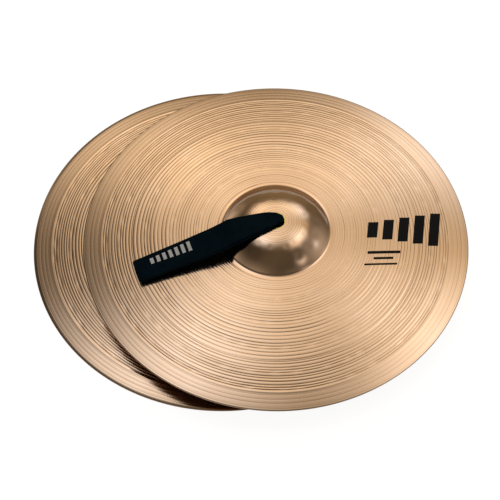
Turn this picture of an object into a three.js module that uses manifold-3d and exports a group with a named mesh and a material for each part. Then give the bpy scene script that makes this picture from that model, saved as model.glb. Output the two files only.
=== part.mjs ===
// A pair of hand cymbals, stacked bells up, with the top one slipped sideways over the bottom one.
// Each cymbal is a lathed bronze plate. Its strap is one strip of leather: folded into a flat hand
// grip, taken down through the hole in the bell, slit into four tails and tied in a crown knot.
// Millimetres, +Z up. The origin is on the ground, under the middle of the pair.
import * as THREE from "three";
import { mergeVertices } from "three/addons/utils/BufferGeometryUtils.js";
import Module from "manifold-3d";

const wasm = await Module();
wasm.setup();

// Cymbal plate.
const RADIUS = 177.8; // 14 inches across
const BOW_SPHERE = 941; // radius of the sphere that the bow is part of
const BELL_RADIUS = 49.5;
const BELL_RISE = 16;
const BELL_FULLNESS = 3; // 2 would be a plain dome, more makes the shoulders squarer
const BELL_FILLET = 3; // how far the fillet at the bell's foot reaches each way
const HOLE_RADIUS = 7;
const BELL_THICKNESS = 1.2;
const RIM_THICKNESS = 1.0;
const RIM_FLAT = 1.4; // width of the flat ring under the rim, on which the cymbal rests
const RIM_CHAMFER = 0.2;
const FACETS = 72; // a multiple of four, so that the plate is as wide as it is deep

// Strap.
const PLY = 2.2; // thickness of the leather
const SLIT = 0.3; // gap between the two halves of the folded grip
const STACK = 2 * PLY + SLIT;
const CLEARANCE = 0.3; // gap to a neighbouring piece
const GRIP_REACH = 134; // from the hole's axis to the fold at the grip's end
const FOLD_WIDTH = 22;
const FOLD_CORNER = 1.5;
const GRIP_WIDTH = 24.6;
const TAPER_START = 72; // from here the grip narrows towards its fold
const SHOULDER = 40; // from here the grip narrows towards the hole
const NECK_WIDTH = 15;
// The grip's side view: how far it has dropped below the hinge, at distances from the hole's axis,
// and how far it then stands off the bow.
const DROP_OVER_BELL = [[0, 0], [14, 0], [28, 0.5], [42, 1.8], [50, 4.4]];
const STANDOFF_OVER_BOW = [[60, 9.4], [90, 5.3], [GRIP_REACH - STACK / 2, 2]];
const BUNDLE_WIDTH = 10; // the strap as it is squeezed together in the hole
const BUNDLE_CORNER = 2;

// Crown knot: each tail lies in three layers, a layer being one ply and one clearance apart.
const TAIL_WIDTH = 9;
const TAIL_START = 1; // a tail starts this far past the middle, under the bundle
const TAIL_END = 26; // how far a tail's free end sticks out
const KNOT_TOP = 29.4; // the knot's upper face, above the rim
const KNOT_CENTRE = 2.2; // half of the gap in the middle of the knot
const LAYER = PLY + CLEARANCE;
const TURN = KNOT_CENTRE + TAIL_WIDTH + 0.8; // where a tail turns back over its neighbour
const CROSSING = 1.3; // a tail changes layer between here and the same distance past the middle

// How the pair is stacked, and where each strap points, as a turn about +Z from +X.
const STACK_SHIFT = new THREE.Vector3(48.8, -12.8, 24.3);
const TOP_STRAP_TURN = THREE.MathUtils.degToRad(198.7);
const BOTTOM_STRAP_TURN = Math.atan2(STACK_SHIFT.y, STACK_SHIFT.x);

const bronze = new THREE.MeshStandardMaterial({ color: 0xdeb894, roughness: 0.3, metalness: 1 });
const leather = new THREE.MeshStandardMaterial({ color: 0x161c26, roughness: 0.75, metalness: 0 });

function solidFrom(geometry) {
  const plain = geometry.clone();
  plain.deleteAttribute("normal");
  plain.deleteAttribute("uv");
  const merged = mergeVertices(plain, 1e-4);
  const mesh = new wasm.Mesh({
    numProp: 3,
    vertProperties: merged.attributes.position.array,
    triVerts: new Uint32Array(merged.index.array),
  });
  return new wasm.Manifold(mesh);
}

function geometryFrom(solid) {
  const mesh = solid.getMesh();
  const geometry = new THREE.BufferGeometry();
  geometry.setAttribute("position", new THREE.BufferAttribute(mesh.vertProperties, 3));
  geometry.setIndex(new THREE.BufferAttribute(mesh.triVerts, 1));
  geometry.computeVertexNormals();
  return geometry;
}

function piece(name, geometry, material) {
  const mesh = new THREE.Mesh(geometry, material);
  mesh.name = name;
  return mesh;
}

// Drop of the bow's sphere below its top, at a distance from the axis.
function sag(radius) {
  return BOW_SPHERE - Math.sqrt(BOW_SPHERE ** 2 - radius ** 2);
}

// Height of the plate's upper face above the ground it rests on, without the fillet.
function plateHeight(radius) {
  if (radius >= BELL_RADIUS) return RIM_THICKNESS + sag(RADIUS) - sag(radius);
  const dome = 1 - (radius / BELL_RADIUS) ** BELL_FULLNESS;
  return plateHeight(BELL_RADIUS) + BELL_RISE * dome;
}

function platePoint(radius) {
  return new THREE.Vector2(radius, plateHeight(radius));
}

function platePoints(from, to, steps) {
  const points = [];
  for (let i = 0; i <= steps; i++) {
    points.push(platePoint(THREE.MathUtils.lerp(from, to, i / steps)));
  }
  return points;
}

function plateThickness(radius) {
  return THREE.MathUtils.mapLinear(radius, HOLE_RADIUS, RADIUS, BELL_THICKNESS, RIM_THICKNESS);
}

// The plate's upper face, from the hole to the rim's edge.
function upperFace() {
  const bellFoot = platePoint(BELL_RADIUS - BELL_FILLET);
  const bowStart = platePoint(BELL_RADIUS + BELL_FILLET);
  const fillet = new THREE.QuadraticBezierCurve(bellFoot, platePoint(BELL_RADIUS), bowStart);
  return [
    ...platePoints(HOLE_RADIUS, bellFoot.x, 7).slice(0, -1),
    ...fillet.getPoints(3),
    ...platePoints(bowStart.x, RADIUS - RIM_CHAMFER, 7).slice(1),
  ];
}

// The face below it, one plate thickness inwards along each point's normal.
function lowerFace(upper) {
  const inner = upper.slice(0, -1);
  return inner.map((point, i) => {
    const along = upper[i + 1].clone().sub(upper[Math.max(i - 1, 0)]).normalize();
    const inwards = new THREE.Vector2(along.y, -along.x);
    const lower = point.clone().addScaledVector(inwards, plateThickness(point.x));
    return i === 0 ? lower.setX(HOLE_RADIUS) : lower;
  });
}

function rimEdge() {
  return [
    new THREE.Vector2(RADIUS, RIM_THICKNESS - RIM_CHAMFER),
    new THREE.Vector2(RADIUS, RIM_CHAMFER),
    new THREE.Vector2(RADIUS - RIM_CHAMFER, 0),
    new THREE.Vector2(RADIUS - RIM_FLAT, 0),
  ];
}

function plateGeometry() {
  const upper = upperFace();
  const outline = [...upper, ...rimEdge(), ...lowerFace(upper).reverse(), upper[0]];
  const geometry = new THREE.LatheGeometry(outline.reverse(), FACETS);
  return geometry.rotateX(Math.PI / 2);
}

// Offset of a path's points to their left, with each bend's corner kept sharp.
function offsetPath(points, distance) {
  const last = points.length - 1;
  return points.map((point, i) => {
    const into = points[Math.max(i, 1)].clone().sub(points[Math.max(i, 1) - 1]).normalize();
    const outOf = points[Math.min(i, last - 1) + 1].clone().sub(points[Math.min(i, last - 1)]);
    const along = into.clone().add(outOf.normalize()).normalize();
    const left = new THREE.Vector2(-along.y, along.x);
    return point.clone().addScaledVector(left, distance / along.dot(into));
  });
}

// Points of a half circle that turns clockwise from a start point, without its two ends.
function halfTurn(centre, start) {
  const steps = 6;
  const points = [];
  for (let i = 1; i < steps; i++) {
    points.push(start.clone().rotateAround(centre, (-Math.PI * i) / steps));
  }
  return points;
}

// A band of even thickness along a path of points, with rounded ends.
function band(path, thickness) {
  const left = offsetPath(path, thickness / 2);
  const right = offsetPath(path, -thickness / 2);
  const farEnd = halfTurn(path.at(-1), left.at(-1));
  const nearEnd = halfTurn(path[0], right[0]);
  return new THREE.Shape([...left, ...farEnd, ...right.reverse(), ...nearEnd]);
}

// A side view, drawn in X and Z, given a width along Y that starts at y.
function widened(sideView, y, width) {
  const geometry = new THREE.ExtrudeGeometry(sideView, { depth: width, bevelEnabled: false });
  return geometry.rotateX(Math.PI / 2).translate(0, y + width, 0);
}

// Height of the axis on which the grip folds up, over the mouth of the hole.
function hingeHeight() {
  return plateHeight(HOLE_RADIUS) + CLEARANCE + STACK / 2;
}

// The folded grip's middle, seen from the side, from a share of its length to the fold.
function gripPath(start) {
  const overBell = DROP_OVER_BELL.map(([x, drop]) => new THREE.Vector2(x, hingeHeight() - drop));
  const overBow = STANDOFF_OVER_BOW.map(([x, standoff]) => {
    return platePoint(x).add(new THREE.Vector2(0, standoff + STACK / 2));
  });
  const middle = new THREE.SplineCurve([...overBell, ...overBow]);
  const steps = 20;
  const points = [];
  for (let i = 0; i <= steps; i++) {
    points.push(middle.getPointAt(THREE.MathUtils.lerp(start, 1, i / steps)));
  }
  return points;
}

// The grip's outline from above: narrow at the neck, widest past the bell, square at the fold.
function gripPlan() {
  const neck = NECK_WIDTH / 2;
  const wide = GRIP_WIDTH / 2;
  const fold = FOLD_WIDTH / 2;
  const foldStart = GRIP_REACH - FOLD_CORNER;
  const plan = new THREE.Shape();
  plan.moveTo(-STACK, -neck);
  plan.lineTo(0, -neck);
  plan.bezierCurveTo(SHOULDER / 3, -neck, (2 * SHOULDER) / 3, -wide, SHOULDER, -wide);
  plan.lineTo(TAPER_START, -wide);
  plan.lineTo(foldStart, -fold);
  plan.absarc(foldStart, FOLD_CORNER - fold, FOLD_CORNER, -Math.PI / 2, 0, false);
  plan.absarc(foldStart, fold - FOLD_CORNER, FOLD_CORNER, 0, Math.PI / 2, false);
  plan.lineTo(TAPER_START, wide);
  plan.lineTo(SHOULDER, wide);
  plan.bezierCurveTo((2 * SHOULDER) / 3, wide, SHOULDER / 3, neck, 0, neck);
  plan.lineTo(-STACK, neck);
  return plan;
}

// The strip folded back on itself: a closed loop, pressed flat, with a slit between its halves.
function gripGeometry() {
  const width = 2 * GRIP_WIDTH;
  const slitStart = 0.03;
  const folded = solidFrom(widened(band(gripPath(0), STACK), -width / 2, width));
  const slit = solidFrom(widened(band(gripPath(slitStart), SLIT), -width / 2, width));
  const tall = { depth: 2 * hingeHeight(), bevelEnabled: false, curveSegments: 6 };
  const plan = solidFrom(new THREE.ExtrudeGeometry(gripPlan(), tall));
  return geometryFrom(folded.intersect(plan).subtract(slit));
}

// The strap where it is squeezed through the hole, as a short upright block with rounded edges.
function neckGeometry() {
  const side = BUNDLE_WIDTH / 2 - BUNDLE_CORNER;
  const bundle = new THREE.Shape();
  for (const [i, [x, y]] of [[1, 1], [-1, 1], [-1, -1], [1, -1]].entries()) {
    const start = (i * Math.PI) / 2;
    bundle.absarc(x * side, y * side, BUNDLE_CORNER, start, start + Math.PI / 2, false);
  }
  const bottom = KNOT_TOP + CLEARANCE;
  const top = hingeHeight() - STACK / 2 - CLEARANCE;
  const upright = { depth: top - bottom, bevelEnabled: false, curveSegments: 4 };
  return new THREE.ExtrudeGeometry(bundle, upright).translate(0, 0, bottom);
}

// One tail's path from the side. It starts under the hole in the top layer, turns back below its
// left neighbour in the bottom layer, and leaves in the middle layer, above its right neighbour.
function tailPath() {
  const top = KNOT_TOP - PLY / 2;
  const middle = top - LAYER;
  const bottom = middle - LAYER;
  const turnBack = new THREE.EllipseCurve(-TURN, middle, LAYER, LAYER, Math.PI / 2, 1.5 * Math.PI);
  return [
    new THREE.Vector2(TAIL_START, top),
    ...turnBack.getPoints(10),
    new THREE.Vector2(-CROSSING, bottom),
    new THREE.Vector2(CROSSING, middle),
    new THREE.Vector2(TURN, middle),
    new THREE.Vector2(TAIL_END, middle - LAYER),
  ];
}

function tailGeometry() {
  return widened(band(tailPath(), PLY), KNOT_CENTRE, TAIL_WIDTH);
}

function strap(name, turn) {
  const group = new THREE.Group();
  group.rotation.z = turn;
  group.add(piece(`${name}_strap_grip`, gripGeometry(), leather));
  group.add(piece(`${name}_strap_neck`, neckGeometry(), leather));
  for (let i = 0; i < 4; i++) {
    const tail = piece(`${name}_strap_tail_${i + 1}`, tailGeometry(), leather);
    tail.rotation.z = (i * Math.PI) / 2;
    group.add(tail);
  }
  return group;
}

function handCymbal(name, strapTurn) {
  const group = new THREE.Group();
  group.add(piece(`${name}_cymbal`, plateGeometry(), bronze));
  group.add(strap(name, strapTurn));
  return group;
}

const pair = new THREE.Group();
const bottomCymbal = handCymbal("bottom", BOTTOM_STRAP_TURN);
bottomCymbal.position.set(-STACK_SHIFT.x / 2, -STACK_SHIFT.y / 2, 0);
pair.add(bottomCymbal);
const topCymbal = handCymbal("top", TOP_STRAP_TURN);
topCymbal.position.copy(bottomCymbal.position).add(STACK_SHIFT);
pair.add(topCymbal);

export default pair;
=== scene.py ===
import math

import bpy
import numpy as np
from mathutils import Matrix, Vector


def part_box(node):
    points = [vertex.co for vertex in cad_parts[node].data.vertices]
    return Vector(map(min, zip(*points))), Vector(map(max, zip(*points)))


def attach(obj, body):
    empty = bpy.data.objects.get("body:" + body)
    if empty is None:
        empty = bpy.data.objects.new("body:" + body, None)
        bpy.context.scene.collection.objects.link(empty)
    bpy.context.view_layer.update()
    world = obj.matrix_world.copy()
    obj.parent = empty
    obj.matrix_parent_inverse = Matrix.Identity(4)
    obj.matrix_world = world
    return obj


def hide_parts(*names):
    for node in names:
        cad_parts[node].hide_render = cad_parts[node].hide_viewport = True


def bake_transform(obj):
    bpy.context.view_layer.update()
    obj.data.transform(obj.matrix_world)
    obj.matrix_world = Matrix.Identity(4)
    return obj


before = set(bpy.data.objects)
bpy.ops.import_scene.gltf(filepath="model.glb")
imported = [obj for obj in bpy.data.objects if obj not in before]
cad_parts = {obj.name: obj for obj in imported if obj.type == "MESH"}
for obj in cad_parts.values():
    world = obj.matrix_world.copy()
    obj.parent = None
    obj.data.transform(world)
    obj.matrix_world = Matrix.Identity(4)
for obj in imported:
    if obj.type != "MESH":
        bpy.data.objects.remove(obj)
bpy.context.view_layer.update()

MM = 0.001

# Cymbal plate. Its radius is read from the frame. The other values repeat the CAD's dimensions.
low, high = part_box("top_cymbal")
RADIUS = (high.x - low.x) / 2 / MM
BOW_SPHERE = 941 # radius of the sphere that the bow is part of
BELL_RADIUS = 49.5
BELL_RISE = 16
BELL_FULLNESS = 3 # 2 would be a plain dome, more makes the shoulders squarer
HOLE_RADIUS = 7
BELL_THICKNESS = 1.2
RIM_THICKNESS = 1.0
RIM_FLAT = 1.4 # width of the flat ring under the rim, on which the cymbal rests
# These are finer than the CAD: the fillet at the bell's foot, and the rounded edges.
FOOT_INSIDE = 1.0 # how far the fillet reaches in from the bell's radius
FOOT_OUTSIDE = 4.2 # and out from it
HOLE_ROUNDING = 0.5
RIM_ROUNDING = 0.25
SEGMENTS = 264 # facets round the plate

# Lathed zones of the upper face, from the bell's top to the rim: from, to, pitch, groove depth,
# groove width, crown of the ridges between them, and how much shade is painted into the grooves.
LATHED = (
    (8.9, 25.8, 2.4, 0.040, 0.6, 0.010, 0.7),
    (54.4, 92.0, 2.6, 0.090, 0.7, 0.022, 0.6),
    (92.0, 133.0, 3.2, 0.110, 0.8, 0.032, 0.6),
    (133.0, 159.4, 2.7, 0.125, 0.9, 0.030, 0.7),
    (163.8, 176.0, 3.9, 0.016, 0.9, 0.008, 0.5),
)
BELL_TOP_END = LATHED[0][1]
BOW_START = LATHED[1][0]
EDGE_START = LATHED[-1][0]
LIP = 0.25 # from a groove's edge to the crown of the ridge beside it
PITCH_SCATTER = 0.24
DEPTH_SCATTER = 0.45
GROOVE_WOBBLE = 0.15
ZONE_GAP = 0.8 # smooth metal between a lathed zone and the next ring outside it
# The raised bead between the lathed bow and the smooth edge, as (radius, height).
BEAD = ((160.3, 0), (160.8, 0.07), (161.5, 0.07), (162.2, 0))
UNDERSIDE_GROOVES = (56, 172, 6.5, 0.07, 1.2) # from, to, pitch, depth, width

# Rings of hammer marks: radius, spacing round the ring, depth, half-length across, half-length around.
HAMMERED = (
    (27.0, 11.0, 0.100, 1.9, 2.4),
    (37.5, 14.0, 0.280, 3.6, 4.4),
    (72.0, 17.0, 0.060, 1.8, 3.0),
    (96.0, 20.0, 0.070, 1.8, 3.2),
    (120.0, 21.0, 0.110, 1.8, 3.4),
    (143.0, 22.0, 0.160, 1.8, 3.6),
    (157.0, 24.0, 0.190, 1.6, 3.6),
)
HAMMER_DRIFT = 0.25 # how far a mark strays round its ring, as a share of the spacing
HAMMER_SCATTER = 0.9 # and how far it strays off the ring
HAMMER_FORCE = (0.5, 1.3) # the weakest and the hardest blow, as shares of the ring's depth
HAMMER_FILL = 0.7 # how much a mark flattens the grooves it lies on

# Strap: one strip of leather, folded in half. The grip is the part outside the bell. Its outline
# over the bell is a little fuller than the CAD's.
PLY = 2.2 # thickness of the leather
SLIT = 0.3 # gap between the grip's two halves
STACK = 2 * PLY + SLIT
PLY_OFFSET = (PLY + SLIT) / 2 # from the grip's middle to the middle of each half
CLEARANCE = 0.3 # gap to a neighbouring piece
GRIP_REACH = 134 # from the hole's axis to the fold
FOLD_WIDTH = 22
FOLD_CORNER = 1.8
GRIP_WIDTH = 25.2
TAPER_START = 72 # from here the grip narrows towards its fold
SHOULDER = 42 # from here the grip narrows towards the hole
NECK_WIDTH = 15
TIP_LENGTH = 14 # from here it narrows further
TIP_NARROWING = 1.7
NECK_ASIDE = -0.6 # how far the grip's middle lies to its left at the hole
SHOULDER_ASIDE = -0.9 # and at the shoulder
# The grip's side view: how far it has dropped below the hinge, at distances from the hole's axis,
# and how far it then stands off the bow.
DROP_OVER_BELL = ((0, 0), (14, 0), (28, 0.5), (42, 1.8), (50, 4.4))
STANDOFF_OVER_BOW = ((60, 9.4), (90, 5.3), (GRIP_REACH - STACK / 2, 2))
# How the strip comes up out of the hole and over into the grip, and how it goes back down under it:
# distance from the hole's axis, height over the hinge, half-thickness, half-width, shift to the left.
NECK_OVER = (
    (-2.6, -3.6, 2.35, 4.6, 0),
    (-4.2, -2.2, 1.7, 3.5, 0.5),
    (-5.2, -0.8, 1.9, 3.0, 0.9),
    (-4.7, 0.6, 1.7, 3.3, 0.9),
    (-2.0, 1.35, 1.35, 5.0, 0.1),
)
NECK_UNDER = (
    (9.0, -1.3, 1.1, 8.0, 0.4),
    (5.6, -1.45, 1.0, 4.6, 0),
    (2.9, -2.5, 1.5, 4.4, 0),
    (2.5, -3.6, 2.3, 4.6, 0),
)
BUNDLE = (2.45, 2.35, 4.9) # each half in the hole: distance from the axis, half-thickness, half-width
OVER_START = 3 # the two halves of the grip run on from here
UNDER_START = 11
LEATHER_EDGE = 0.55 # rounding of the strip's edges
GRIP_PUFF = 0.12 # how much the grip's faces bulge
GRIP_WAVINESS = 0.10
TAIL_WAVINESS = 0.05
# The line pressed into the leather along both edges.
EDGE_LINE_INSET = 2.2
EDGE_LINE_DEPTH = 0.22
EDGE_LINE_WIDTH = 0.45
TOP_STRAP_TURN = 198.7 # degrees about +Z, from +X

# Crown knot: each tail lies in three layers, a layer being one ply and one clearance apart.
TAIL_WIDTH = 9
TAIL_START = 1 # a tail starts this far past the middle, under the bundle
TAIL_END = 26 # how far a tail's free end sticks out
KNOT_TOP = 29.4 # the knot's upper face, above the rim
KNOT_CENTRE = 2.2 # half of the gap in the middle of the knot
LAYER = PLY + CLEARANCE
TURN = KNOT_CENTRE + TAIL_WIDTH + 0.8 # where a tail turns back over its neighbour

# Two plain marks of upright bars that grow one by one: (start, pitch, count, share of the pitch that
# a bar fills, half-height of the first bar, growth per bar). One is printed on the top cymbal, along
# its +X, and one is stamped on its grip, starting so far from the fold.
PRINT_BARS = (84.0, 14.2, 5, 0.66, 8.5, 2.4)
PRINT_SLANT = 0.12
PRINT_RISE = 0.09 # how much the row climbs per millimetre
PRINT_LEVEL = 2.0 # how far the row's middle lies along +Y
PRINT_RULES = ((86, 116, -24, -21), (92, 110, -30, -27.5), (84, 114, -36, -34)) # from, to, low, high
GRIP_BARS = (15, 6.0, 7, 0.55, 3.0, 0.36)
GRIP_BARS_ASIDE = 3.5

# Soft boxes round the studio, as seen from the cymbals: azimuth from +X, elevation and spread in
# degrees, strength, warmth. The last four are low, for views from the other sides. The others are
# what the photo's camera sees in the metal.
SOFT_BOXES = (
    (90, 66, 12, 0.86, 0.65),
    (80, 42, 7, 0.75, 0.75),
    (36, 60, 7, 1.06, 0.0),
    (133, 72, 7, 0.90, -0.4),
    (104, 42, 7, 1.14, 0.7),
    (6, 24, 20, 0.42, 0.45),
    (66, 36, 7, 0.93, -0.2),
    (15, 66, 7, 0.58, 0.6),
    (328, 42, 5, 0.60, 0.3),
    (8, 32, 4, 0.35, -1.0),
    (50, 50, 7, 0.30, 1.7),
    (85, 5, 25, 0.20, 1.2),
    (270, 66, 20, 0.07, 0.9),
    (135, 6, 10, 0.50, 0.5),
    (185, 8, 15, 0.60, 0.5),
    (235, 10, 18, 0.60, 0.5),
    (300, 8, 14, 0.60, 0.5),
)
DIM_LIGHT = 0.022 # what the rest of the studio gives off
BACKDROP = (1.0, 1.0, 1.0)
FLOOR_SIDE = 12000
FLOOR_SEEN = 0.92
FLOOR_REFLECTED = 0.2

# The camera at the photo's viewing angle, in metres and in degrees from straight down.
CAMERA_PLACE = (0.0007, -0.8700, 1.3376)
CAMERA_TILT = 33.0
CAMERA_LENS = 122.4
CAMERA_SENSOR = 36

rng = np.random.default_rng(14)


def cos_deg(angle):
    return math.cos(math.radians(angle))


def sin_deg(angle):
    return math.sin(math.radians(angle))


def sag(radius):
    return BOW_SPHERE - np.sqrt(BOW_SPHERE ** 2 - radius ** 2)


def sharp_height(radius):
    """Height of the plate's upper face over its rim plane, with a sharp crease at the bell's foot."""
    bow = RIM_THICKNESS + sag(RADIUS) - sag(radius)
    foot = RIM_THICKNESS + sag(RADIUS) - sag(BELL_RADIUS)
    share = np.minimum(radius, BELL_RADIUS) / BELL_RADIUS
    return np.where(radius < BELL_RADIUS, foot + BELL_RISE * (1 - share ** BELL_FULLNESS), bow)


def plate_height(radius):
    """The same, with a fillet at the bell's foot: a Bezier curve that runs out gently onto the bow."""
    radius = np.asarray(radius, float)
    inner, outer = BELL_RADIUS - FOOT_INSIDE, BELL_RADIUS + FOOT_OUTSIDE
    bend = FOOT_OUTSIDE - FOOT_INSIDE
    t = (np.sqrt(FOOT_INSIDE ** 2 + bend * (np.clip(radius, inner, outer) - inner)) - FOOT_INSIDE) / bend
    ends = (1 - t) ** 2 * sharp_height(np.array(inner)) + t ** 2 * sharp_height(np.array(outer))
    fillet = ends + 2 * t * (1 - t) * sharp_height(np.array(BELL_RADIUS))
    return np.where((t > 0) & (t < 1), fillet, sharp_height(radius))


def plate_thickness(radius):
    share = (radius - HOLE_RADIUS) / (RADIUS - HOLE_RADIUS)
    return BELL_THICKNESS + share * (RIM_THICKNESS - BELL_THICKNESS)


def lathed_rings(zone):
    """Rings of one lathed zone as (radius, relief, painted groove shade, how lathed)."""
    start, end, pitch, depth, width, crown, painted_shade = zone
    rings = []
    middle = start
    while middle < end:
        cut = depth * (1 + DEPTH_SCATTER * rng.uniform(-1, 1))
        lean = crown * rng.uniform(-0.6, 0.6)
        rings.append((middle - width / 2 - LIP, crown - lean, 0.0, 1.0))
        rings.append((middle - width / 2, 0.0, 0.0, 1.0))
        # the groove's bottom gets painted shade, darker the deeper the cut
        rings.append((middle, -cut, painted_shade * cut / depth, 1.0))
        rings.append((middle + width / 2, 0.0, 0.0, 1.0))
        rings.append((middle + width / 2 + LIP, crown + lean, 0.0, 1.0))
        middle += pitch * (1 + PITCH_SCATTER * rng.uniform(-1, 1))
    return rings


def plain_rings(start, end, count):
    return [(radius, 0.0, 0.0, 0.0) for radius in np.linspace(start, end, count)]


def upper_rings():
    bell, inner_bow, middle_bow, outer_bow, edge = [lathed_rings(zone) for zone in LATHED]
    hole = plain_rings(HOLE_RADIUS + HOLE_ROUNDING, LATHED[0][0] - ZONE_GAP, 2)
    bell_side = plain_rings(bell[-1][0] + ZONE_GAP, BELL_RADIUS - FOOT_INSIDE - 0.6, 15)
    foot = plain_rings(BELL_RADIUS - FOOT_INSIDE, BELL_RADIUS + FOOT_OUTSIDE, 14)
    bead = [(radius, height, 0.0, 0.0) for radius, height in BEAD]
    rim = plain_rings(edge[-1][0] + 0.2, RADIUS - RIM_ROUNDING, 2)
    rings = hole + bell + bell_side + foot + inner_bow + middle_bow + outer_bow + bead + edge + rim
    rings = [ring for ring in rings if ring[0] <= RADIUS - RIM_ROUNDING]
    return np.array(sorted(rings))


def hammer_marks():
    """Every hammer mark as (radius, turn, depth, half-length across, half-length around)."""
    marks = []
    for radius, spacing, depth, across, around in HAMMERED:
        count = round(2 * math.pi * radius / spacing)
        phase = rng.uniform(0, 2 * math.pi)
        for i in range(count):
            turn = phase + (i + rng.uniform(-HAMMER_DRIFT, HAMMER_DRIFT)) * 2 * math.pi / count
            marks.append((
                radius + rng.uniform(-HAMMER_SCATTER, HAMMER_SCATTER),
                turn,
                depth * rng.uniform(*HAMMER_FORCE),
                across,
                around,
            ))
    return marks


def mark_strength(mark, radius, turn):
    """How deep into one hammer mark each point lies, from 0 to 1."""
    at_radius, at_turn, _, across, around = mark
    apart = (turn - at_turn + math.pi) % (2 * math.pi) - math.pi
    return np.exp(-((radius - at_radius) / across) ** 2 - (apart * at_radius / around) ** 2)


def upper_face():
    """Points of the lathed and hammered upper face, from the hole outwards, and how much shade is painted
    on each.
    Slow waves round the plate keep every groove from being a perfect circle of one depth."""
    rings = upper_rings()
    turn = np.linspace(0, 2 * math.pi, SEGMENTS, endpoint=False)[None, :]
    radius = rings[:, 0][:, None]
    drift = np.sin(turn + radius / 31) + 0.5 * np.sin(3 * turn - radius / 23)
    radius = radius + GROOVE_WOBBLE * drift * rings[:, 3][:, None]
    uneven = 1 + 0.25 * np.sin(2 * turn + radius / 9) + 0.15 * np.sin(7 * turn - radius / 5)
    dent = np.zeros_like(radius)
    filled = np.zeros_like(radius)
    for mark in hammer_marks():
        strength = mark_strength(mark, radius, turn)
        dent += mark[2] * strength
        filled = np.maximum(filled, strength)
    relief = rings[:, 1][:, None] * uneven * (1 - HAMMER_FILL * filled)
    height = plate_height(radius) + relief - dent
    # painted groove shade, weaker where a hammer mark flattens the grooves
    dark = rings[:, 2][:, None] * (1 - HAMMER_FILL * filled)
    return polar_points(radius, turn, height), dark


def polar_points(radius, turn, height):
    shape = np.broadcast_shapes(np.shape(radius), np.shape(turn), np.shape(height))
    return np.stack([radius * np.cos(turn) + np.zeros(shape),
                     radius * np.sin(turn) + np.zeros(shape),
                     height + np.zeros(shape)], -1)


def rim_profile():
    """(radius, height) round the rim, down to the flat ring on which the cymbal rests."""
    corners = []
    for i in range(1, 5):
        a = math.pi / 2 * (1 - i / 4)
        corners.append((RADIUS - RIM_ROUNDING * (1 - math.cos(a)),
                        RIM_THICKNESS - RIM_ROUNDING * (1 - math.sin(a))))
    for i in range(1, 5):
        a = -math.pi / 2 * i / 4
        corners.append((RADIUS - RIM_ROUNDING * (1 - math.cos(a)),
                        RIM_ROUNDING * (1 + math.sin(a))))
    corners.append((RADIUS - RIM_FLAT, 0.0))
    return corners


def lower_profile():
    """(radius, height) of the underside, from the rim back to the hole."""
    start, end, pitch, depth, width = UNDERSIDE_GROOVES
    rings = [(radius, 0.0) for radius in np.linspace(HOLE_RADIUS + 1.0, start - 1, 14)]
    for middle in np.arange(start, end, pitch):
        rings += [(middle - width / 2, 0.0), (middle, depth), (middle + width / 2, 0.0)]
    rings = np.array(sorted(rings, reverse=True))
    slope = (plate_height(rings[:, 0] + 0.1) - plate_height(rings[:, 0] - 0.1)) / 0.2
    normal = 1 / np.sqrt(1 + slope ** 2)
    thick = plate_thickness(rings[:, 0]) - rings[:, 1]
    radius = rings[:, 0] + slope * normal * thick
    height = plate_height(rings[:, 0]) - normal * thick
    return [(r, z) for r, z in zip(radius, height) if HOLE_RADIUS + 0.2 < r < RADIUS - RIM_FLAT - 0.5]


def hole_profile():
    """(radius, height) up the wall of the hole and round its upper edge."""
    top = float(plate_height(HOLE_RADIUS))
    wall = [(HOLE_RADIUS, top - BELL_THICKNESS), (HOLE_RADIUS, top - HOLE_ROUNDING)]
    edge = []
    for i in range(1, 4):
        a = math.pi / 2 * i / 3
        edge.append((HOLE_RADIUS + HOLE_ROUNDING * (1 - math.cos(a)),
                     top - HOLE_ROUNDING * (1 - math.sin(a))))
    return wall + edge[:-1]


def revolved(profile):
    turn = np.linspace(0, 2 * math.pi, SEGMENTS, endpoint=False)[None, :]
    profile = np.array(profile)
    return polar_points(profile[:, 0][:, None], turn, profile[:, 1][:, None])


def grid_faces(rows, columns, closed_rows):
    """Quads of a grid that is closed round its columns, and round its rows too if asked."""
    row = np.arange(rows if closed_rows else rows - 1)[:, None]
    column = np.arange(columns)[None, :]
    next_row = (row + 1) % rows
    next_column = (column + 1) % columns
    quads = np.stack([row * columns + column, row * columns + next_column,
                      next_row * columns + next_column, next_row * columns + column], -1)
    return quads.reshape(-1, 4).tolist()


def new_object(name, points, faces, material):
    mesh = bpy.data.meshes.new(name)
    mesh.from_pydata((points * MM).tolist(), [], faces)
    mesh.polygons.foreach_set("use_smooth", [True] * len(mesh.polygons))
    mesh.materials.append(material)
    obj = bpy.data.objects.new(name, mesh)
    bpy.context.scene.collection.objects.link(obj)
    return obj


def cymbal_plate(name, material, centre):
    """One plate as a closed mesh: upper face, rim, underside and the wall of the hole."""
    upper, dark = upper_face()
    rest = revolved(rim_profile() + lower_profile() + hole_profile())
    points = np.concatenate([upper, rest]).reshape(-1, 3)
    rows = len(upper) + len(rest)
    faces = grid_faces(rows, SEGMENTS, True)
    plate = new_object(name, points, [face[::-1] for face in faces], material)
    # the painted groove shade is stored on the plate's points
    shade = plate.data.attributes.new("groove", "FLOAT", "POINT")
    shade.data.foreach_set("value", np.concatenate([dark.ravel(), np.zeros(rest.shape[0] * SEGMENTS)]))
    plate.location = centre
    return plate


# ---- Strap ----

def catmull_rom(points, per_span):
    """A smooth line through every point."""
    points = np.array(points, float)
    padded = np.vstack([2 * points[0] - points[1], points, 2 * points[-1] - points[-2]])
    line = []
    for i in range(len(points) - 1):
        a, b, c, d = padded[i:i + 4]
        for t in np.linspace(0, 1, per_span, endpoint=False):
            line.append(0.5 * (2 * b + (c - a) * t + (2 * a - 5 * b + 4 * c - d) * t ** 2
                               + (3 * b - a - 3 * c + d) * t ** 3))
    line.append(points[-1])
    return np.array(line)


def hinge_height():
    return float(sharp_height(np.array(float(HOLE_RADIUS)))) + CLEARANCE + STACK / 2


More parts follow.
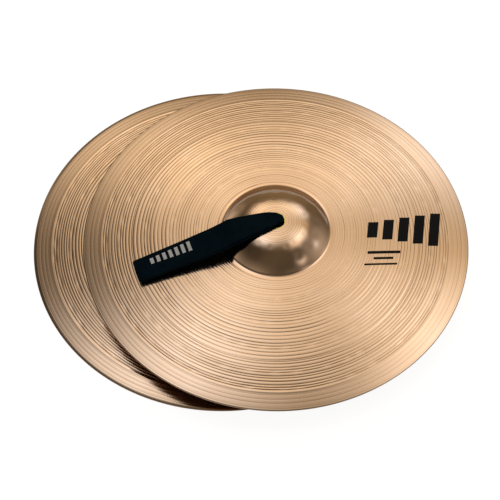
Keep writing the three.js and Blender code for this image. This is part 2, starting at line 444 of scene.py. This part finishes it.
def grip_middle():
    """The folded grip's middle from the side, as (distance from the hole's axis, height)."""
    over_bell = [(x, hinge_height() - drop) for x, drop in DROP_OVER_BELL]
    over_bow = [(x, float(plate_height(x)) + standoff + STACK / 2) for x, standoff in STANDOFF_OVER_BOW]
    return catmull_rom(over_bell + over_bow, 12)


def left_of(line):
    """Unit vector to the left of a line at each of its points."""
    along = np.gradient(line, axis=0)
    along /= np.linalg.norm(along, axis=1)[:, None]
    return np.stack([-along[:, 1], along[:, 0]], -1)


def grip_half_width(x):
    """Half of the grip's width at a distance from the hole's axis."""
    neck, wide, fold = NECK_WIDTH / 2, GRIP_WIDTH / 2, FOLD_WIDTH / 2
    rise = np.clip(x / SHOULDER, 0, 1)
    shoulder = neck + (wide - neck) * rise
    taper = np.clip((x - TAPER_START) / (GRIP_REACH - TAPER_START), 0, 1)
    into_corner = np.clip(x - (GRIP_REACH - FOLD_CORNER), 0, FOLD_CORNER)
    corner = FOLD_CORNER - math.sqrt(FOLD_CORNER ** 2 - into_corner ** 2)
    tip = TIP_NARROWING * np.clip(1 - x / TIP_LENGTH, 0, 1) ** 2
    return shoulder + (fold - wide) * taper - corner - tip


def sideways(x):
    """How far the grip's middle lies to one side over the bell."""
    return float(np.interp(x, (0, SHOULDER, 1.5 * SHOULDER), (NECK_ASIDE, SHOULDER_ASIDE, 0)))


def strap_stations():
    """Stations along the folded strip, from the hole, round the fold and back into the hole.
    Each is (distance from the axis, height, half-thickness, half-width, shift to the left)."""
    middle = grip_middle()
    left = left_of(middle)
    x, thick, wide = BUNDLE
    over = [(-x, KNOT_TOP + CLEARANCE, thick, wide, 0)] + over_hinge(NECK_OVER)
    under = over_hinge(NECK_UNDER) + [(x, KNOT_TOP + CLEARANCE, thick, wide, 0)]
    upper_ply = [(*(p + n * PLY_OFFSET), PLY / 2, grip_half_width(p[0]), sideways(p[0]))
                 for p, n in zip(middle, left) if p[0] > OVER_START]
    lower_ply = [(*(p - n * PLY_OFFSET), PLY / 2, grip_half_width(p[0]), 0)
                 for p, n in zip(middle, left) if p[0] > UNDER_START][::-1]
    into_hole = catmull_rom(over + upper_ply[:1], 6)[:-1].tolist()
    out_of_hole = catmull_rom(lower_ply[-1:] + under, 6).tolist()
    return into_hole + upper_ply + fold_stations(middle[-1], left[-1]) + lower_ply[:-1] + out_of_hole


def over_hinge(neck):
    """Stations of the strip's neck, with their heights taken from the hinge."""
    return [(x, hinge_height() + height, *rest) for x, height, *rest in neck]


def fold_stations(end, out):
    """Stations round the fold, a half circle about the end of the grip's middle line."""
    forward = np.array([out[1], -out[0]])
    stations = []
    for i in range(1, 10):
        a = math.pi * i / 10
        point = end + PLY_OFFSET * (math.cos(a) * out + math.sin(a) * forward)
        reach = end[0] + math.sin(a) * STACK / 2
        stations.append((*point, PLY / 2, grip_half_width(min(reach, GRIP_REACH)), 0))
    return stations


def edge_line(from_edge):
    """Depth of the line pressed along the leather's edge."""
    return EDGE_LINE_DEPTH * math.exp(-((from_edge - EDGE_LINE_INSET) / EDGE_LINE_WIDTH) ** 2)


def leather_section(half_width, half_thickness, puff):
    """Outline of the strip's cross-section, with rounded edges and a slightly puffed face."""
    edge = min(LEATHER_EDGE + 0.6 * max(half_thickness - PLY / 2, 0), 0.95 * half_thickness)
    outline = []
    for side, lift in ((1, 1), (-1, 1), (-1, -1), (1, -1)):
        for i in range(5):
            a = math.pi / 2 * i / 4
            if side * lift < 0:
                a = math.pi / 2 - a
            across = side * (half_width - edge + edge * math.cos(a))
            up = lift * (half_thickness - edge + edge * math.sin(a))
            outline.append((across, up))
        if side == lift:
            near_edge = [half_width - EDGE_LINE_INSET - step for step in (-1, -0.5, 0, 0.5, 1)]
            inner = np.linspace(near_edge[-1], -near_edge[-1], 6)[1:-1].tolist()
            for across in near_edge + inner + [-x for x in near_edge[::-1]]:
                bulge = puff * (1 - (across / half_width) ** 2)
                line = edge_line(half_width - abs(across)) if puff else 0.0
                outline.append((across * side, lift * (half_thickness + bulge - line)))
    return outline


def strip(name, stations, puff, waviness, material):
    """A closed strip of leather swept along stations. Its point attribute "grain" holds each point's
    place on the leather: along the strip from its furthest reach, across it, and which face it is."""
    stations = np.array(stations)
    left = left_of(stations[:, :2])
    steps = np.linalg.norm(np.diff(stations[:, :2], axis=0), axis=1)
    along = np.concatenate([[0], np.cumsum(steps)])
    along -= along[stations[:, 0].argmax()]
    phase = rng.uniform(0, 2 * math.pi, 2)
    rings = []
    grain = []
    for i, ((x, z, thick, wide, shift), normal) in enumerate(zip(stations, left)):
        wave = waviness * (math.sin(i * 0.21 + phase[0]) + 0.5 * math.sin(i * 0.53 + phase[1]))
        for across, up in leather_section(wide, thick, puff):
            rings.append((x + normal[0] * up, across * (1 + wave / wide) + shift, z + normal[1] * up))
            grain.append((along[i], across, up / thick))
    columns = len(rings) // len(stations)
    faces = grid_faces(len(stations), columns, False)
    faces.append(list(range(columns))[::-1])
    faces.append(list(range(len(rings) - columns, len(rings))))
    obj = new_object(name, np.array(rings), faces, material)
    place_on_leather = obj.data.attributes.new("grain", "FLOAT_VECTOR", "POINT")
    place_on_leather.data.foreach_set("vector", np.array(grain).ravel())
    return obj


def place(obj, centre, turn):
    """Turns a piece about its own Z axis and moves it to a plate's centre."""
    obj.rotation_euler.z = math.radians(turn)
    obj.location = centre
    return obj


def tail_stations():
    """Stations along one tail: outwards in the top layer, round a turn, back to the middle in the
    bottom layer, and outwards on the other side to its free end."""
    top = KNOT_TOP - PLY / 2
    middle = top - LAYER
    bottom = middle - LAYER
    path = [(TAIL_START, top), (-5, top), (-TURN, top)]
    for i in range(1, 6):
        a = math.pi / 2 + math.pi * i / 6
        path.append((-TURN + LAYER * math.cos(a), middle + LAYER * math.sin(a)))
    path += [(-TURN, bottom), (-5, bottom), (-1.6, bottom + 0.15), (1.6, middle - 0.15), (5, middle),
             (TURN, middle - 0.1), (TURN + 7, middle - 0.8), (TAIL_END, middle - LAYER)]
    line = catmull_rom(path, 5)
    return [(x, z, PLY / 2, TAIL_WIDTH / 2, 0) for x, z in line]


def knot_tail(name, index, centre, turn, material):
    tail = strip(name, tail_stations(), 0.0, TAIL_WAVINESS, material)
    tail.data.transform(Matrix.Translation((0, (KNOT_CENTRE + TAIL_WIDTH / 2) * MM, 0)))
    return place(tail, centre, turn + 90 * index)


# ---- Materials ----

class Shader:
    """A material's node tree, with short ways to add nodes."""

    def __init__(self, name, world=None):
        self.material = world or bpy.data.materials.new(name)
        self.material.use_nodes = True
        self.nodes = self.material.node_tree.nodes
        self.links = self.material.node_tree.links
        self.nodes.clear()
        self.output = self.nodes.new("ShaderNodeOutputWorld" if world else "ShaderNodeOutputMaterial")

    def add(self, kind, inputs=None, **settings):
        node = self.nodes.new(kind)
        for key, value in settings.items():
            setattr(node, key, value)
        for key, value in (inputs or {}).items():
            self.feed(node, key, value)
        return node

    def feed(self, node, key, value):
        if isinstance(value, bpy.types.NodeSocket):
            self.links.new(value, node.inputs[key])
        else:
            node.inputs[key].default_value = value

    def math(self, operation, a, b=0.0):
        node = self.add("ShaderNodeMath", {0: a, 1: b}, operation=operation)
        return node.outputs[0]

    def between(self, value, low, high):
        """1 where value lies between low and high, else 0."""
        above = self.math("GREATER_THAN", value, low)
        below = self.math("LESS_THAN", value, high)
        return self.math("MULTIPLY", above, below)

    def ramp(self, value, from_low, from_high, to_low=0.0, to_high=1.0):
        """value taken smoothly from one range to another."""
        node = self.add("ShaderNodeMapRange", {0: value, 1: from_low, 2: from_high, 3: to_low, 4: to_high},
                        interpolation_type="SMOOTHSTEP")
        return node.outputs[0]

    def mix(self, share, a, b):
        """Colour a where share is 0, b where it is 1."""
        node = self.add("ShaderNodeMix", {0: share, 6: a, 7: b}, data_type="RGBA")
        return node.outputs[2]

    def blend_values(self, share, a, b):
        node = self.add("ShaderNodeMix", {0: share, 2: a, 3: b}, data_type="FLOAT")
        return node.outputs[0]

    def noise(self, vector, scale, detail=2.0, roughness=0.5):
        node = self.add("ShaderNodeTexNoise", {"Vector": vector, "Scale": scale, "Detail": detail,
                                               "Roughness": roughness})
        return node.outputs["Fac"]

    def ring_noise(self, radius, turn, per_mm, round_the_axis, roughness):
        """Noise that changes quickly outwards and slowly round the axis, as a lathe leaves it."""
        sine = self.math("MULTIPLY", self.math("SINE", turn), round_the_axis)
        cosine = self.math("MULTIPLY", self.math("COSINE", turn), round_the_axis)
        outwards = self.math("MULTIPLY", radius, per_mm)
        where = self.add("ShaderNodeCombineXYZ", {0: outwards, 1: sine, 2: cosine}).outputs[0]
        return self.noise(where, 1.0, 2.0, roughness)


def rgba(red, green, blue):
    return (red, green, blue, 1.0)


BRONZE_LIGHT = rgba(0.93, 0.675, 0.49)
BRONZE_WARM = rgba(0.90, 0.64, 0.45)
# painted shade in the lathe grooves, and the faint stain along the rings
BRONZE_STAIN_AND_SHADE = rgba(0.36, 0.21, 0.12)
BRONZE_BELL = rgba(0.88, 0.605, 0.42)
# yellow of the hole's bare edge, brightened into a painted highlight
HOLE_GOLD_HIGHLIGHT = rgba(0.90, 0.82, 0.26)
BOW_ROUGHNESS = (0.12, 0.17)
EDGE_ROUGHNESS = 0.16
BELL_ROUGHNESS = 0.10
RING_STAIN = 0.12
# how strongly shade is painted into the grooves
GROOVE_PAINTED_SHADE = 0.85
GOLD_HIGHLIGHT_WIDTH = 1.6 # the yellow ring round the hole: bare metal with a painted highlight on its rounded edge
BRUSHED = 0.35
SCRATCHES = {"Strength": 0.35, "Distance": 0.00004}
INK = rgba(0.008, 0.008, 0.010)
INK_ROUGHNESS = 0.42
INK_GLOSS = 0.1
LEATHER_DARK = rgba(0.001, 0.009, 0.018)
LEATHER_LIGHT = rgba(0.002, 0.014, 0.026)
LEATHER_MARK = rgba(0.80, 0.82, 0.86)
LEATHER_PORES = 0.9 # per millimetre
LEATHER_ROUGHNESS = (0.48, 0.64)
LEATHER_GRAIN = {"Strength": 0.6, "Distance": 0.00012}


def stepped_bars(s, u, v, bars):
    """Mask of a row of upright bars that grow taller one by one: a plain swell mark, not lettering."""
    start, pitch, count, filled, first, growth = bars
    along = s.math("DIVIDE", s.math("SUBTRACT", u, start), pitch)
    step = s.math("FLOOR", along)
    within = s.math("LESS_THAN", s.math("FRACT", along), filled)
    row = s.between(along, 0.0, float(count))
    half_height = s.math("ADD", s.math("MULTIPLY", step, growth), first)
    tall = s.math("LESS_THAN", s.math("ABSOLUTE", v), half_height)
    return s.math("MULTIPLY", s.math("MULTIPLY", within, row), tall)


def bronze_material(name, printed):
    s = Shader(name)
    where = s.add("ShaderNodeTexCoord").outputs["Object"]
    xyz = s.add("ShaderNodeSeparateXYZ", {0: where}).outputs
    x = s.math("MULTIPLY", xyz[0], 1 / MM)
    y = s.math("MULTIPLY", xyz[1], 1 / MM)
    radius = s.math("SQRT", s.math("ADD", s.math("MULTIPLY", x, x), s.math("MULTIPLY", y, y)))
    turn = s.math("ARCTAN2", y, x)
    rings = s.ring_noise(radius, turn, 0.55, 0.8, 0.5)
    fine = s.ring_noise(radius, turn, 3.0, 3.0, 0.6)
    cloud = s.noise(where, 22.0, 3.0)
    past_bell_top = s.ramp(radius, BELL_TOP_END - 0.3, BELL_TOP_END + 2.2)
    polished = s.math("MULTIPLY", past_bell_top, s.ramp(radius, BOW_START, BOW_START - 1.2))
    # the painted groove shade stored on the plate's points
    groove = s.add("ShaderNodeAttribute", attribute_name="groove").outputs["Fac"]

    colour = s.mix(s.ramp(cloud, 0.35, 0.65), BRONZE_LIGHT, BRONZE_WARM)
    colour = s.mix(s.math("MULTIPLY", s.ramp(rings, 0.5, 0.8), RING_STAIN), colour, BRONZE_STAIN_AND_SHADE)
    # painted shade along the bottoms of the lathe grooves
    colour = s.mix(s.math("MULTIPLY", groove, GROOVE_PAINTED_SHADE), colour, BRONZE_STAIN_AND_SHADE)
    colour = s.mix(polished, colour, BRONZE_BELL)
    # a yellow ring round the hole, partly bare metal and partly painted highlight
    gold_highlight_end = HOLE_RADIUS + GOLD_HIGHLIGHT_WIDTH
    colour = s.mix(s.ramp(radius, gold_highlight_end + 0.3, gold_highlight_end), colour, HOLE_GOLD_HIGHLIGHT)
    edge = s.ramp(radius, EDGE_START - 2.8, EDGE_START - 0.8)
    bow_roughness = s.blend_values(edge, s.ramp(rings, 0.3, 0.7, *BOW_ROUGHNESS), EDGE_ROUGHNESS)
    roughness = s.blend_values(polished, bow_roughness, BELL_ROUGHNESS)
    metallic = 1.0
    gloss = 0.5
    if printed:
        ink = print_mask(s, x, y)
        colour = s.mix(ink, colour, INK)
        roughness = s.blend_values(ink, roughness, INK_ROUGHNESS)
        metallic = s.math("SUBTRACT", 1.0, ink)
        gloss = s.blend_values(ink, gloss, INK_GLOSS)
    bump_height = s.math("MULTIPLY", fine, s.math("SUBTRACT", 1.0, s.math("MULTIPLY", polished, 0.9)))
    bump = s.add("ShaderNodeBump", {"Height": bump_height, **SCRATCHES})
    around = s.add("ShaderNodeTangent", direction_type="RADIAL", axis="Z").outputs[0]
    shader = s.add("ShaderNodeBsdfPrincipled", {
        "Base Color": colour,
        "Metallic": metallic,
        "Roughness": roughness,
        "Specular IOR Level": gloss,
        "Anisotropic": s.blend_values(polished, BRUSHED, 0.0),
        "Anisotropic Rotation": 0.25,
        "Tangent": around,
        "Normal": bump.outputs[0],
    })
    s.links.new(shader.outputs[0], s.output.inputs[0])
    return s.material


def print_mask(s, x, y):
    """Dark print on the right of the bow: growing bars over three plain rules."""
    slanted = s.math("SUBTRACT", x, s.math("MULTIPLY", y, PRINT_SLANT))
    climb = s.math("MULTIPLY", s.math("SUBTRACT", x, PRINT_BARS[0]), PRINT_RISE)
    level = s.math("SUBTRACT", y, climb)
    mask = stepped_bars(s, slanted, s.math("SUBTRACT", level, PRINT_LEVEL), PRINT_BARS)
    for start, end, low, high in PRINT_RULES:
        rule = s.math("MULTIPLY", s.between(slanted, start, end), s.between(level, low, high))
        mask = s.math("MAXIMUM", mask, rule)
    return mask


def leather_material(name, marked):
    s = Shader(name)
    where = s.add("ShaderNodeAttribute", attribute_name="grain").outputs["Vector"]
    along, across, face = s.add("ShaderNodeSeparateXYZ", {0: where}).outputs[:3]
    pores = s.add("ShaderNodeTexVoronoi", {"Vector": where, "Scale": LEATHER_PORES},
                  feature="DISTANCE_TO_EDGE").outputs["Distance"]
    cloud = s.noise(where, 0.06, 4.0, 0.6)
    crease = s.noise(where, 0.3, 3.0, 0.6)
    colour = s.mix(s.ramp(cloud, 0.3, 0.7), LEATHER_DARK, LEATHER_LIGHT)
    colour = s.mix(s.ramp(pores, 0.12, 0.0, 0.0, 0.45), colour, rgba(0, 0, 0))
    roughness = s.ramp(crease, 0.3, 0.7, *LEATHER_ROUGHNESS)
    if marked:
        from_fold = s.math("MULTIPLY", along, -1.0)
        bars = stepped_bars(s, from_fold, s.math("ADD", across, GRIP_BARS_ASIDE), GRIP_BARS)
        mark = s.math("MULTIPLY", bars, s.math("GREATER_THAN", face, 0.5))
        worn = s.math("MULTIPLY", mark, s.ramp(crease, 0.25, 0.45, 0.75, 1.0))
        colour = s.mix(worn, colour, LEATHER_MARK)
    raised = s.math("MULTIPLY", s.ramp(pores, 0.0, 0.25), 0.6)
    height = s.math("ADD", raised, s.math("MULTIPLY", crease, 0.8))
    bump = s.add("ShaderNodeBump", {"Height": height, **LEATHER_GRAIN})
    shader = s.add("ShaderNodeBsdfPrincipled", {
        "Base Color": colour,
        "Roughness": roughness,
        "Specular IOR Level": 0.04,
        "Normal": bump.outputs[0],
    })
    s.links.new(shader.outputs[0], s.output.inputs[0])
    return s.material


# ---- Assembly ----

def plate_centre(name):
    low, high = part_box(f"{name}_cymbal")
    return Vector(((low.x + high.x) / 2, (low.y + high.y) / 2, low.z))


def bottom_strap_turn():
    """The bottom grip lies under the top cymbal, towards its middle."""
    away = plate_centre("top") - plate_centre("bottom")
    return math.degrees(math.atan2(away.y, away.x))


def hand_cymbal(name, strap_turn, printed):
    centre = plate_centre(name)
    bronze = bronze_material(f"{name}_bronze", printed)
    leather = leather_material(f"{name}_leather", printed)
    plate = cymbal_plate(f"{name}_cymbal_lathed", bronze, centre)
    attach(plate, f"{name}_cymbal")
    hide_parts(f"{name}_cymbal")

    strap = strip(f"{name}_strap", strap_stations(), GRIP_PUFF, GRIP_WAVINESS, leather)
    place(strap, centre, strap_turn)
    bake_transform(strap)
    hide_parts(f"{name}_strap_grip", f"{name}_strap_neck")

    for i in range(4):
        tail = knot_tail(f"{name}_knot_tail_{i + 1}", i, centre, strap_turn, leather)
        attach(tail, f"{name}_knot")
        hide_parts(f"{name}_strap_tail_{i + 1}")


def light_colour(warmth):
    return np.array([1.0, 1 - 0.18 * warmth, 1 - 0.45 * warmth])


def surroundings():
    """Soft boxes in a dark studio, as the cymbals see it. The camera sees a plain pale backdrop."""
    studio = bpy.data.worlds.new("studio")
    bpy.context.scene.world = studio
    s = Shader("studio", studio)
    direction = s.add("ShaderNodeVectorMath", {0: s.add("ShaderNodeTexCoord").outputs["Generated"]},
                      operation="NORMALIZE").outputs[0]
    total = s.add("ShaderNodeRGB").outputs[0]
    total.default_value = rgba(*(DIM_LIGHT * light_colour(1.0)))
    for azimuth, elevation, spread, strength, warmth in SOFT_BOXES:
        level = strength * light_colour(warmth)
        towards = (cos_deg(azimuth) * cos_deg(elevation), sin_deg(azimuth) * cos_deg(elevation),
                   sin_deg(elevation))
        facing = s.add("ShaderNodeVectorMath", {0: direction, 1: towards},
                       operation="DOT_PRODUCT").outputs["Value"]
        off_axis = s.math("MULTIPLY", s.math("SUBTRACT", facing, 1.0), 1 / math.radians(spread) ** 2)
        glow = s.add("ShaderNodeVectorMath", {0: tuple(level), 3: s.math("EXPONENT", off_axis)},
                     operation="SCALE").outputs[0]
        total = s.add("ShaderNodeVectorMath", {0: total, 1: glow}, operation="ADD").outputs[0]
    felt = s.add("ShaderNodeBackground", {"Color": total})
    seen = s.add("ShaderNodeBackground", {"Color": rgba(*BACKDROP)})
    is_camera = s.add("ShaderNodeLightPath").outputs["Is Camera Ray"]
    both = s.add("ShaderNodeMixShader", {0: is_camera, 1: felt.outputs[0], 2: seen.outputs[0]})
    s.links.new(both.outputs[0], s.output.inputs[0])


def floor():
    """Pale paper. It glows for the camera, and faintly for one reflection, and lights nothing else."""
    s = Shader("floor_paper")
    where = s.add("ShaderNodeTexCoord").outputs["Object"]
    mottle = s.noise(where, 3.0, 2.0)
    colour = s.mix(mottle, rgba(0.34, 0.34, 0.34), rgba(0.38, 0.38, 0.38))
    paper = s.add("ShaderNodeBsdfDiffuse", {"Color": colour})
    depth = s.add("ShaderNodeLightPath").outputs["Ray Depth"]
    reflected = s.math("MULTIPLY", s.math("LESS_THAN", depth, 1.5), FLOOR_REFLECTED)
    seen = s.math("MULTIPLY", s.math("LESS_THAN", depth, 0.5), FLOOR_SEEN - FLOOR_REFLECTED)
    glow = s.add("ShaderNodeEmission", {"Color": rgba(1, 1, 1), "Strength": s.math("ADD", reflected, seen)})
    both = s.add("ShaderNodeAddShader", {0: paper.outputs[0], 1: glow.outputs[0]})
    s.links.new(both.outputs[0], s.output.inputs[0])
    half = FLOOR_SIDE / 2
    corners = np.array([(-half, -half, 0), (half, -half, 0), (half, half, 0), (-half, half, 0)])
    obj = new_object("floor", corners, [[0, 1, 2, 3]], s.material)


def camera():
    data = bpy.data.cameras.new("camera")
    data.sensor_width = CAMERA_SENSOR
    data.lens = CAMERA_LENS
    obj = bpy.data.objects.new("camera", data)
    bpy.context.scene.collection.objects.link(obj)
    obj.location = CAMERA_PLACE
    obj.rotation_euler = (math.radians(CAMERA_TILT), 0, 0)
    bpy.context.scene.camera = obj


hand_cymbal("bottom", bottom_strap_turn(), False)
hand_cymbal("top", TOP_STRAP_TURN, True)
surroundings()
floor()
camera()
bpy.context.scene.view_settings.view_transform = "Standard"
bpy.context.scene.view_settings.look = "None"
